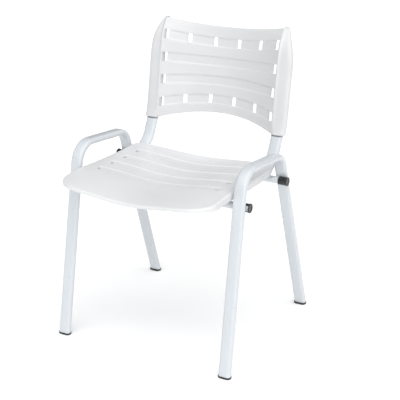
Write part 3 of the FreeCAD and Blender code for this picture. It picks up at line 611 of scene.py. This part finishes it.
def make_fittings():
    """Foot caps, bumpers and end plugs, then the screws and washers."""
    ends = {
        "front": (FRONT_FOOT_Y, FRONT_SLOPE, FRONT_CROSS_Y, -1, cap_low, cap_high),
        "rear": (REAR_LINE_Y, -REAR_SLOPE, REAR_CROSS_Y, 1, rear_cap_low, rear_cap_high),
    }
    for side, turn in (("left", lambda part: part), ("right", mirrored)):
        for end, (foot_y, slope, rail_y, toward_leg, low, high) in ends.items():
            cap = "%s_%s_foot_cap" % (end, side)
            make_piece(cap + "_moulded", *turn(foot_cap(foot_y, slope, low, high)), "black_plastic", [cap])
            bumper = "%s_%s_stacking_bumper" % (end, side)
            moulded = turn(stacking_bumper(rail_y, toward_leg))
            make_piece(bumper + "_moulded", *moulded, "black_plastic", [bumper])
        plug = side + "_upright_end_plug"
        make_piece(plug + "_moulded", *turn(upright_plug()), "black_plastic", [plug])

    under = washer_low[2]
    screw_y = (screw_low[1] + SCREW_HEAD_RADIUS, screw_high[1] - SCREW_HEAD_RADIUS)
    screws, washers = [], []
    for y in screw_y:
        shank = seat_top(POST_X, y) - 2.6 * MM - under
        screw = pan_screw(SCREW_HEAD_RADIUS, 3 * MM, 2.4 * MM, shank)
        screws.append(placed(screw, [POST_X, y, under], SIDE, -BACKWARD, -UP))
        washers.append(placed(washer(), [POST_X, y, under], SIDE, BACKWARD, UP))
    for name, parts in (("seat_screws", screws), ("seat_screw_washers", washers)):
        both = join_parts(parts + [mirrored(part) for part in parts])
        make_piece(name + "_zinc", *both, "zinc_steel", [name])

    inward = np.array([0, -math.cos(POST_LEAN), math.sin(POST_LEAN)])
    level = np.cross(inward, SIDE)
    centre_y = POST_LINE[1] + math.tan(POST_LEAN) * (BACK_SCREW_Z - POST_LINE[2])
    seat_of_head = np.array([POST_X, centre_y, BACK_SCREW_Z]) - inward * 11.5 * MM
    screw = pan_screw(SCREW_HEAD_RADIUS, 2.6 * MM, 2.1 * MM, 14 * MM)
    one = placed(screw, seat_of_head, SIDE, level, -inward)
    make_piece("backrest_screws_zinc", *join_parts([one, mirrored(one)]), "zinc_steel", ["backrest_screws"])


# ---- seat ---------------------------------------------------------------------------
SEAT_HALF = seat_high[0]
SEAT_FRONT = seat_low[1]
SEAT_REAR = seat_high[1]
SEAT_WALL = 4 * MM
SEAT_ROLL = 5 * MM                   # radius over which the top turns down into the rim
SEAT_CORNER = (78 * MM, 58 * MM)     # half axes of the front corners
SEAT_REAR_RADIUS = 28 * MM
CHANNEL_Y = (-131 + 63.5 * np.arange(4)) * MM
CHANNEL_HALF = (186 * MM, 16.5 * MM)
CHANNEL_CORNER = 9 * MM
CHANNEL_DEPTH = 1.6 * MM
CHANNEL_EDGE = 5.5 * MM              # width of a channel's sloping edge
SEAT_SLOT = (178 * MM, 4.5 * MM, 6.5 * MM)    # middle, half width, half length


def seat_base(x, y):
    """Seat without its channels: a cosine dish across, and along it a parabola that rolls over at the
    front and kicks up behind."""
    front = np.clip((-y - 125 * MM) / (152.5 * MM), 0, None)
    rear = np.clip((y - 70 * MM) / (52.5 * MM), 0, None)
    middle = (452 + 6 * ((y - 30 * MM) / (170 * MM)) ** 2 - 23.6 * front ** 2 + 7 * rear ** 2) * MM
    across = np.minimum(np.abs(x), 190 * MM) / (190 * MM)
    at_rear = smoothstep((y - 92 * MM) / (25 * MM))
    at_side = smoothstep((np.abs(x) - 160 * MM) / (20 * MM))
    dish = (14 - 6 * rear ** 2) * MM * (1 - np.cos(math.pi * across)) / 2
    return middle + dish + 1.2 * MM * at_rear * at_side


def seat_top(x, y):
    """Seat with its channels: sunk by the distance inside a round-cornered strip, over the edge's width."""
    drop = np.zeros(np.broadcast(x, y).shape)
    for middle in CHANNEL_Y:
        dx = np.abs(x) - (CHANNEL_HALF[0] - CHANNEL_CORNER)
        dy = np.abs(y - middle) - (CHANNEL_HALF[1] - CHANNEL_CORNER)
        beyond = np.hypot(np.maximum(dx, 0), np.maximum(dy, 0))
        outside = beyond + np.minimum(np.maximum(dx, dy), 0) - CHANNEL_CORNER
        drop = np.maximum(drop, smoothstep(-outside / CHANNEL_EDGE))
    return seat_base(x, y) - CHANNEL_DEPTH * drop


def round_the_corners(x, y, inset):
    """Moves a rectangle's points so that its corners become quarter ellipses:
    (a, b) in a corner's unit square goes to (a * sqrt(1 - b*b/2), b * sqrt(1 - a*a/2))."""
    half = SEAT_HALF - inset
    front, rear = SEAT_FRONT + inset, SEAT_REAR - inset
    for way, end, (ax, ay) in ((-1, front, SEAT_CORNER), (1, rear, (SEAT_REAR_RADIUS, SEAT_REAR_RADIUS))):
        ax, ay = ax - inset, ay - inset
        a = np.clip((np.abs(x) - (half - ax)) / ax, 0, 1)
        b = np.clip((way * (y - end) + ay) / ay, 0, 1)
        new_x = np.abs(x) - a * ax + a * np.sqrt(1 - b * b / 2) * ax
        new_y = y + way * (b * np.sqrt(1 - a * a / 2) - b) * ay
        x, y = np.sign(x) * new_x, new_y
    return x, y


def over_upright(x, y):
    """1 where the seat's rear corners pass over the uprights' bends, else 0, with soft edges."""
    across = smoothstep((np.abs(x) - 172 * MM) / (6 * MM)) * smoothstep((226 * MM - np.abs(x)) / (6 * MM))
    return across * smoothstep((y - 90 * MM) / (14 * MM))


def rim_depth(x, y):
    """Depth of the rim: shallow along the front, deep on the flanks, and an edge only along the rear."""
    flank = 7.5 + 11 * smoothstep((y - SEAT_FRONT) / (1.2 * SEAT_CORNER[1]))
    rear = 4.4 - 2.0 * over_upright(x, y)
    return (flank + (rear - flank) * smoothstep((y - 82 * MM) / (24 * MM))) * MM


def closed_shell(outer, inner, quads, left_open=None):
    """Two layers of points with the same faces, joined by a wall along every free edge, except edges
    between two points that are left open."""
    count = len(outer)
    quads = np.asarray(quads)
    edges = np.stack([quads, np.roll(quads, -1, axis=1)], -1).reshape(-1, 2)
    forward = edges[:, 0] * count + edges[:, 1]
    backward = edges[:, 1] * count + edges[:, 0]
    free = edges[~np.isin(forward, backward)]
    if left_open is not None:
        free = free[~np.isin(free, left_open).all(axis=1)]
    walls = np.stack([free[:, 1], free[:, 0], free[:, 0] + count, free[:, 1] + count], -1)
    return np.concatenate([outer, inner]), np.concatenate([quads, quads[:, ::-1] + count, walls])


def point_normals(points, quads):
    """Each point's normal: the sum of the cross products of its faces' diagonals."""
    a, b, c, d = (points[quads[:, k]] for k in range(4))
    across = np.cross(c - a, d - b)
    total = np.zeros_like(points)
    for k in range(4):
        np.add.at(total, quads[:, k], across)
    return total / np.linalg.norm(total, axis=1, keepdims=True).clip(1e-15)


def seat_shell():
    """The seat's sheet. Its top is a grid of points at seat_top, with corners rounded in plan and quads
    left out at the slots. Round its edge, layers follow a quarter circle down and then a straight rim.
    The inside is every point moved back along its normal by the wall."""
    edge = SEAT_ROLL
    slot_x, slot_half, slot_reach = SEAT_SLOT
    half = spaced([0, 166 * MM, slot_x - slot_half, slot_x + slot_half, 188 * MM, SEAT_HALF - edge],
                  [34, 6, 8, 5, 11])
    columns = np.concatenate([-half[:0:-1], half])
    knots, steps = [SEAT_FRONT + edge], []
    for middle in CHANNEL_Y:
        reach = CHANNEL_HALF[1]
        sides = np.array([reach + 1 * MM, reach, reach - CHANNEL_EDGE, slot_reach])
        knots += list(middle - sides) + list(middle + sides[::-1])
        steps += [8 if steps else 34, 1, 7, 3, 6, 3, 7, 1]
    rows = spaced(knots + [SEAT_REAR - edge], steps + [16])
    flat_x, flat_y = np.meshgrid(columns, rows)
    x, y = round_the_corners(flat_x, flat_y, edge)
    sheet = np.stack([x, y, seat_top(x, y)], -1)
    quads = grid_quads(len(rows), len(columns))

    middle_x = (columns[1:] + columns[:-1]) / 2
    middle_y = (rows[1:] + rows[:-1]) / 2
    in_slot_x = np.abs(np.abs(middle_x) - slot_x) < slot_half
    in_slot_y = (np.abs(middle_y[:, None] - CHANNEL_Y) < slot_reach).any(axis=1)
    quads = quads[~(in_slot_y[:, None] & in_slot_x[None, :]).ravel()]

    number = np.arange(sheet.shape[0] * sheet.shape[1]).reshape(sheet.shape[:2])
    ring = np.concatenate([number[0, :-1], number[:-1, -1], number[-1, :0:-1], number[:0:-1, 0]])
    sheet = sheet.reshape(-1, 3)
    line = sheet[ring]
    heading = unit((np.roll(line, -1, axis=0) - np.roll(line, 1, axis=0))[:, :2])
    outward = np.stack([heading[:, 1], -heading[:, 0]], -1)
    outline = line[:, :2] + outward * edge
    depth = rim_depth(outline[:, 0], outline[:, 1])
    layers = []
    for turn in np.radians(np.linspace(12, 90, 7)):
        place = line[:, :2] + outward * edge * math.sin(turn)
        drop = np.minimum(edge * (1 - math.cos(turn)), depth)
        layers.append(np.column_stack([place, seat_base(place[:, 0], place[:, 1]) - drop]))
    for share in (0.15, 0.5, 0.85, 1.0):
        below = np.maximum(edge + (depth - edge) * share, 0)
        drop = np.where(depth > edge, below, depth)
        layers.append(np.column_stack([outline, seat_base(outline[:, 0], outline[:, 1]) - drop]))
    points = np.concatenate([sheet] + layers)
    loop = len(ring)
    strip_numbers = np.concatenate([ring[None], len(sheet) + np.arange(len(layers) * loop).reshape(-1, loop)])
    after = np.roll(strip_numbers, -1, axis=1)
    strip = np.stack([strip_numbers[:-1], strip_numbers[1:], after[1:], after[:-1]], -1).reshape(-1, 4)
    quads = np.concatenate([quads, strip])

    normals = point_normals(points, quads)
    wall = SEAT_WALL - 2.2 * MM * over_upright(points[:, 0], points[:, 1])
    inner = points - normals * wall[:, None]
    return closed_shell(points, inner, quads)


def seat_pad():
    """A rib under the seat on an upright's run: a round-ended bar whose top follows the seat."""
    ends_y = (-140 * MM, 82 * MM)
    outline = stadium((ends_y[1] - ends_y[0]) / 2 - 4 * MM, 4 * MM, 40)
    y = outline[:, 0] + (ends_y[0] + ends_y[1]) / 2
    x = np.clip(outline[:, 1] * 2.5, -10 * MM, 10 * MM) + POST_X
    rows = []
    for share in (0.0, 0.1, 1.0):
        low = RUN_TOP_Z + 0.03 * MM
        high = seat_base(x, y) - 2.8 * MM
        rows.append(np.column_stack([x, y, low + (high - low) * share]))
    rows = np.array(rows)
    faces = list(grid_quads(3, 40, close_columns=True)) + [list(range(40))[::-1], [80 + k for k in range(40)]]
    return rows, faces


def make_seat():
    """The seat's sheet and its two ribs in one moulding."""
    pad = seat_pad()
    shell = join_parts([seat_shell(), pad, mirrored(pad)])
    make_piece("seat_moulding", *shell, "white_seat_plastic", ["seat_shell"], crisp=60)


# ---- backrest -----------------------------------------------------------------------
BACK_HALF = back_high[0]
BACK_WALL = 4 * MM
BACK_BOTTOM = back_low[2]
CREASE_X = 183 * MM                  # where the sheet turns into the side sleeves
SLEEVE_INNER_X = 180 * MM            # the sleeve's inner side, behind the sheet
SLOT_COLUMNS = (37.5 * MM, 111 * MM, 173 * MM)
SLOT_HALF = (6.25 * MM, 13 * MM)       # half width and half height
BACK_CHANNEL_DEPTH = 1.5 * MM
BACK_SCREW_Z = 572 * MM
BACK_TIP_Z = 816 * MM
ROLL_START_Z = 756 * MM
ROLL_RADIUS = 109 * MM


def back_front(x, z):
    """Front of the sheet without its channels: a parabola, its sides rolled back near the top."""
    middle = 231.4 * MM + 0.195 * (z - POST_LINE[2])
    roll = np.clip((z - 750 * MM) / (66 * MM), 0, None)
    side = 185.5 * MM + 0.165 * (z - POST_LINE[2]) + 20.6 * MM * roll ** 2
    return middle - (middle - side) * (x / (174 * MM)) ** 2


def back_knots(x):
    """Heights at x of the bottom edge, the four channels' lower and upper edges, and the top edge."""
    bend = (x / (174 * MM)) ** 2
    bottom = np.maximum(558.5 * MM - 23.5 * MM * (x / (185 * MM)) ** 2, BACK_BOTTOM)
    top = 796.5 * MM + 20.5 * MM * (x / (190 * MM)) ** 2
    heights = [bottom]
    for row in range(4):
        middle = (595 + 52.3 * row + (11.4 * row - 14) * bend) * MM
        heights += [middle - SLOT_HALF[1], middle + SLOT_HALF[1]]
    return np.stack(heights + [np.minimum(top, BACK_TIP_Z)])


def sleeve_middle_y(z):
    """Depth of a sleeve's middle at a height: the upright's centre line, then an arc that rolls back."""
    points, _ = post_path(0, ROLL_START_Z)
    line = np.interp(z, points[24:, 2], points[24:, 1])
    start_y = points[-1, 1]
    centre_y = start_y + ROLL_RADIUS * math.cos(POST_LEAN)
    centre_z = ROLL_START_Z - ROLL_RADIUS * math.sin(POST_LEAN)
    arc_y = centre_y - np.sqrt(ROLL_RADIUS ** 2 - np.clip(z - centre_z, 0, 0.9 * ROLL_RADIUS) ** 2)
    return np.where(z > ROLL_START_Z, arc_y, line)


def side_x(z):
    """Outer side of the backrest: straight, then an arc in towards the top corners."""
    over = np.clip(z - 715 * MM, 0, None)
    return BACK_HALF - 200 * MM + np.sqrt((200 * MM) ** 2 - over ** 2)


def sleeve_sections(z, crease_front, crease_rear):
    """Front and rear half of a sleeve's level section at each height, from the crease to the outermost line.
    The round outside is a superellipse quarter each way; the inner rear corner is a small arc."""
    z = z[:, None]
    middle = sleeve_middle_y(z)
    taper = smoothstep((z - 742 * MM) / (BACK_TIP_Z - 742 * MM))
    deep = (11.8 - 6.8 * taper) * MM
    outer = side_x(z)
    round_x = CREASE_X + (outer - CREASE_X) * 0.42
    front_y, rear_y = middle - deep, middle + deep
    t = np.linspace(0, 1, 8)[None, 1:-1]
    near_x = CREASE_X + (round_x - CREASE_X) * t
    reached = 1 - (1 - np.clip((near_x - CREASE_X) / (9 * MM), 0, 1)) ** 2
    near_y = crease_front[:, None] + (front_y - crease_front[:, None]) * reached
    angle = np.linspace(0, math.pi / 2, 14)[None, :]
    power = 2 / 3.1
    far_x = round_x + (outer - round_x) * np.sin(angle) ** power
    far_front = middle - deep * np.cos(angle).clip(0) ** power
    far_rear = middle + deep * np.cos(angle).clip(0) ** power
    front = np.stack(np.broadcast_arrays(np.concatenate([near_x, far_x], 1),
                                         np.concatenate([near_y, far_front], 1), z), -1)
    corner = 5 * MM
    inner_y = crease_rear[:, None]
    reach = np.minimum(corner, (rear_y - inner_y) * 0.45)
    turn = np.linspace(0, math.pi / 2, 5)[None, :]
    corner_x = SLEEVE_INNER_X + corner * (1 - np.cos(turn))
    corner_y = rear_y - reach + reach * np.sin(turn)
    wall_y = inner_y + (rear_y - reach - inner_y) * 0.5
    rear_x = np.concatenate([np.full_like(z, SLEEVE_INNER_X), corner_x + 0 * z, far_x], 1)
    rear_all_y = np.concatenate([wall_y, corner_y, far_rear], 1)
    rear = np.stack(np.broadcast_arrays(rear_x, rear_all_y, z), -1)
    return front, rear


def round_the_edge(front, rear, way):
    """Replaces the first row of both skins by four rows on quarter circles that meet in the edge's middle."""
    radius = 1.6 * MM
    turn = np.radians([0, 25, 50, 75])[:, None, None]
    half_gap = (rear[0] - front[0]) / 2
    size = np.linalg.norm(half_gap, axis=-1, keepdims=True).clip(1e-9)
    pull = half_gap / size * np.minimum(radius * (1 - np.sin(turn)), size * 0.8)
    rise = way * radius * (1 - np.cos(turn)) * UP
    return (np.concatenate([front[0] + pull + rise, front[1:]]),
            np.concatenate([rear[0] - pull + rise, rear[1:]]))


def backrest_shell():
    """Front and rear skins on one grid: the sheet's columns, then each sleeve's; rows follow the channels."""
    slots = [(x - SLOT_HALF[0], x + SLOT_HALF[0]) for x in SLOT_COLUMNS]
    half = spaced([0, slots[0][0], slots[0][1], slots[1][0], slots[1][1], slots[2][0], slots[2][1], CREASE_X],
                  [8, 4, 14, 4, 12, 6, 2])
    land = np.array([0, 0.15, 0.32, 0.5, 0.68, 0.85])
    channel = np.array([0, 0.03, 0.06, 0.09, 0.25, 0.5, 0.75, 0.91, 0.94, 0.97])
    place = np.concatenate([k + (channel if k % 2 else land) for k in range(9)] + [[9.0]])
    interval = np.minimum(place.astype(int), 8)
    along = (place - interval)[:, None]

    def level(x):
        """Heights of all rows at x, each a share of the way between two knots."""
        knots = back_knots(x)
        return knots[interval] * (1 - along) + knots[interval + 1] * along

    z = level(half)
    in_channel = (interval % 2 == 1)[:, None]
    edge = smoothstep(along / 0.09) * smoothstep((1 - along) / 0.09) * in_channel
    sunk = BACK_CHANNEL_DEPTH * edge * smoothstep((CREASE_X - half) / (5 * MM))[None, :]
    front_y = back_front(half[None, :], z) + sunk
    front = np.stack([np.broadcast_to(half, z.shape), front_y, z], -1)
    rear = front + [0, BACK_WALL, 0]
    rear[:, -1, 0] = SLEEVE_INNER_X
    sleeve_front, sleeve_rear = sleeve_sections(z[:, -1], front[:, -1, 1], rear[:, -1, 1])
    front = np.concatenate([front, sleeve_front], 1)
    rear = np.concatenate([rear, sleeve_rear], 1)

    front, rear = round_the_edge(front, rear, 1)
    front, rear = round_the_edge(front[::-1], rear[::-1], -1)
    front, rear = front[::-1], rear[::-1]

    flip = np.array([-1, 1, 1])
    front = np.concatenate([front[:, :0:-1] * flip, front], 1)
    rear = np.concatenate([rear[:, :0:-1] * flip, rear], 1)
    rows, columns = front.shape[:2]
    quads = grid_quads(rows, columns)
    cell_interval = np.concatenate([[0] * 3, interval[:-1], [8] * 3])
    middle_x = np.full(columns - 1, 1.0)
    sheet_x = np.concatenate([-half[:0:-1], half])
    first = (columns - len(sheet_x)) // 2
    middle_x[first:first + len(sheet_x) - 1] = np.abs((sheet_x[1:] + sheet_x[:-1]) / 2)
    holes = np.zeros((rows - 1, columns - 1), bool)
    for row in range(4):
        for x in SLOT_COLUMNS if row in (0, 3) else SLOT_COLUMNS[2:]:
            holes |= (cell_interval == 2 * row + 1)[:, None] & (np.abs(middle_x - x) < SLOT_HALF[0])[None, :]
    quads = quads[~holes.ravel()]
    left_from = first + len(sheet_x) - 1
    mouths = np.concatenate([np.arange(left_from + 1, columns), np.arange(0, first)])
    edges_of_mouths = np.concatenate([mouths, [left_from, first]])
    shell = closed_shell(front.reshape(-1, 3), rear.reshape(-1, 3), quads, edges_of_mouths)
    loop = np.concatenate([front[0, left_from:], rear[0, :left_from - 1:-1]])
    mouth = sleeve_mouth(loop)
    return join_parts([shell, mouth, mirrored(mouth)])


def sleeve_mouth(loop):
    """The open lower end of a sleeve: a bore that follows the upright up, then closes on it. The bore is
    the rim's own outline carried along its rays to the upright's section and a little clearance."""
    rows = [loop]
    for rise, gap in ((0, 1.5), (0.6, 1.2), (6, 0.8), (24, 0.25)):
        z = BACK_BOTTOM + rise * MM
        centre = np.array([POST_X, float(sleeve_middle_y(z)), z])
        ray = loop - [POST_X, float(sleeve_middle_y(BACK_BOTTOM)), BACK_BOTTOM]
        far = np.hypot(ray[:, 0], ray[:, 1])
        c, s = ray[:, 0] / far, ray[:, 1] / far
        radius = TUBE_DEPTH / 2 + gap * MM
        to_flat = radius / np.maximum(np.abs(s), 1e-6)
        to_round = TUBE_FLAT * np.abs(c) + np.sqrt(np.maximum(radius ** 2 - (TUBE_FLAT * s) ** 2, 0))
        reach = np.where(to_flat * np.abs(c) <= TUBE_FLAT, to_flat, to_round)
        reach = np.minimum(reach * (1 + 0.08 * s * s), far - 0.7 * MM)
        rows.append(centre + np.column_stack([c * reach, s * reach, 0 * c]))
    rows.append(np.broadcast_to(centre, loop.shape))
    return np.array(rows), grid_quads(len(rows), len(loop), close_columns=True)


def make_backrest():
    """The backrest in one moulding."""
    make_piece("backrest_moulding", *backrest_shell(), "white_back_plastic", ["backrest_shell"],
               crisp=50)


# ---- floor, light and camera --------------------------------------------------------
def make_stage():
    """A wide, flat, pale floor that gives off a little light of its own."""
    across = np.linspace(-42, 42, 57)
    x, y = np.meshgrid(across, across)
    mesh = bpy.data.meshes.new("studio_floor")
    points = np.stack([x, y, np.full_like(x, -0.0004)], -1).reshape(-1, 3)
    mesh.from_pydata(points.tolist(), [], grid_quads(57, 57).tolist())
    floor = bpy.data.objects.new("studio_floor", mesh)
    bpy.context.scene.collection.objects.link(floor)
    material, nodes, links, base = shader("pale_floor")
    cloud = noise(nodes, links, 3, 3)
    links.new(tint(nodes, links, cloud, (0.93, 0.93, 0.93), (0.95, 0.95, 0.95)), base.inputs["Base Color"])
    links.new(spread(nodes, links, noise(nodes, links, 14, 3), 0.75, 0.9), base.inputs["Roughness"])
    base.inputs["Specular IOR Level"].default_value = 0.1
    base.inputs["Emission Color"].default_value = (1, 1, 1, 1)
    base.inputs["Emission Strength"].default_value = 0.14
    floor.data.materials.append(material)


def aim(thing, place, target):
    """Puts a light or the camera at a place, looking at a target, level."""
    thing.location = place
    back = unit(np.asarray(place, float) - np.asarray(target, float))
    right = unit(np.cross(UP, back))
    up = np.cross(back, right)
    matrix = np.eye(4)
    matrix[:3, 0], matrix[:3, 1], matrix[:3, 2], matrix[:3, 3] = right, up, back, place
    thing.matrix_world = matrix.T.tolist()


def add_sun(name, direction, energy, spread_angle):
    """A very wide sun, which lights as a large soft box does."""
    sun = bpy.data.lights.new(name, "SUN")
    sun.energy = energy
    sun.angle = math.radians(spread_angle)
    lamp = bpy.data.objects.new(name, sun)
    bpy.context.scene.collection.objects.link(lamp)
    aim(lamp, direction, (0, 0, 0))


def make_light():
    """Air that is brighter towards the front left, and two wide soft boxes."""
    world = bpy.data.worlds.new("studio_air")
    bpy.context.scene.world = world
    world.use_nodes = True
    nodes, links = world.node_tree.nodes, world.node_tree.links
    air = nodes["Background"]
    air.inputs["Color"].default_value = (0.985, 0.99, 1.0, 1)
    place = nodes.new("ShaderNodeTexCoord")
    toward = nodes.new("ShaderNodeVectorMath")
    toward.operation = "DOT_PRODUCT"
    toward.inputs[1].default_value = (0.70, -0.45, 0.55)
    links.new(place.outputs["Generated"], toward.inputs[0])
    links.new(spread(nodes, links, toward.outputs["Value"], 0.10, 0.80, -0.6, 0.95), air.inputs["Strength"])
    add_sun("overhead_box", (0.5, -0.8, 2.0), 1.95, 80)
    add_sun("front_box", (1.6, -2.2, 0.85), 0.5, 50)


def make_camera():
    """A long lens some 2.8 m from the chair, in front of it and to its left, looking down on it."""
    lens = bpy.data.cameras.new("studio_camera")
    lens.lens = 88.81
    lens.sensor_width = 36.0
    lens.shift_y = -0.00505
    camera = bpy.data.objects.new("studio_camera", lens)
    bpy.context.scene.collection.objects.link(camera)
    turn, drop = math.radians(28.602), math.radians(20.305)
    away = np.array([math.sin(turn) * math.cos(drop), -math.cos(turn) * math.cos(drop), math.sin(drop)])
    place = np.array([1.25356, -2.19618, 1.30894])
    aim(camera, place, place - away)
    bpy.context.scene.camera = camera


make_frame()
make_welds()
make_fittings()
make_seat()
make_backrest()
make_stage()
make_light()
make_camera()
bpy.context.scene.view_settings.view_transform = "Standard"
